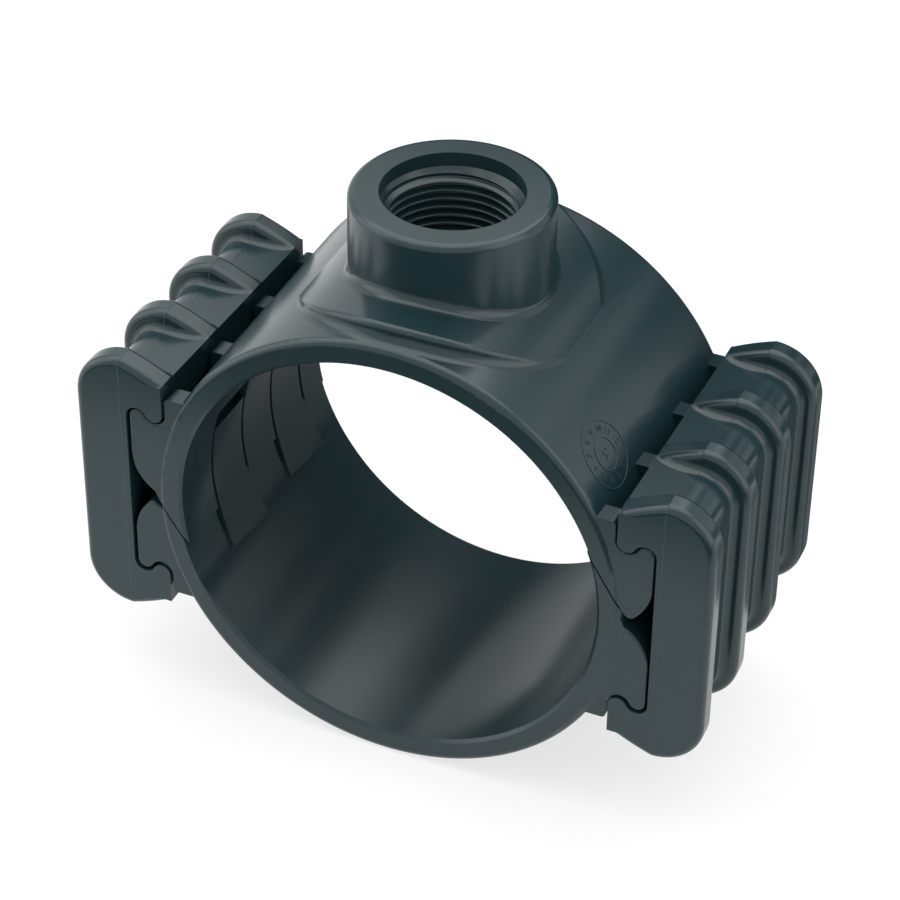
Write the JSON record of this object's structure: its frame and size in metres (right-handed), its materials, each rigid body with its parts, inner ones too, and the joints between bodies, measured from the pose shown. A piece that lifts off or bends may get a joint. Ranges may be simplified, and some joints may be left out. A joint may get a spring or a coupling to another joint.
{
  "type": "tapping saddle",
  "caption": "Two-half pipe clamp saddle with a female threaded outlet boss, drawn together by a tapered ribbed clip that slides over the lugs on each side.",
  "frame": {"origin": "where the pipe's axis and the outlet's axis meet, at the middle of the saddle's length", "axes": "+Y along the pipe, towards the narrow end of the clips and the way they come off; +Z out of the threaded outlet; +X towards the right-hand clip"},
  "size_m": [0.1674, 0.0788, 0.1434],
  "materials": {
    "shell_plastic": "moulded rigid PVC, dark blue-grey, glossy",
    "clip_plastic": "moulded rigid PVC, dark blue-grey, glossy",
    "seal_rubber": "black EPDM, matt"
  },
  "bodies": {
    "saddle": {"upper_saddle": "shell_plastic", "lower_saddle": "shell_plastic", "outlet_seal": "seal_rubber"},
    "left_clip": {"left_clip": "clip_plastic"},
    "right_clip": {"right_clip": "clip_plastic"}
  },
  "joints": [
    {"name": "left_clip_slide", "type": "slide", "parent": "saddle", "child": "left_clip", "axis": [0, 1, 0], "range_m": [0, 0.082]},
    {"name": "right_clip_slide", "type": "slide", "parent": "saddle", "child": "right_clip", "axis": [0, 1, 0], "range_m": [0, 0.082]}
  ]
}
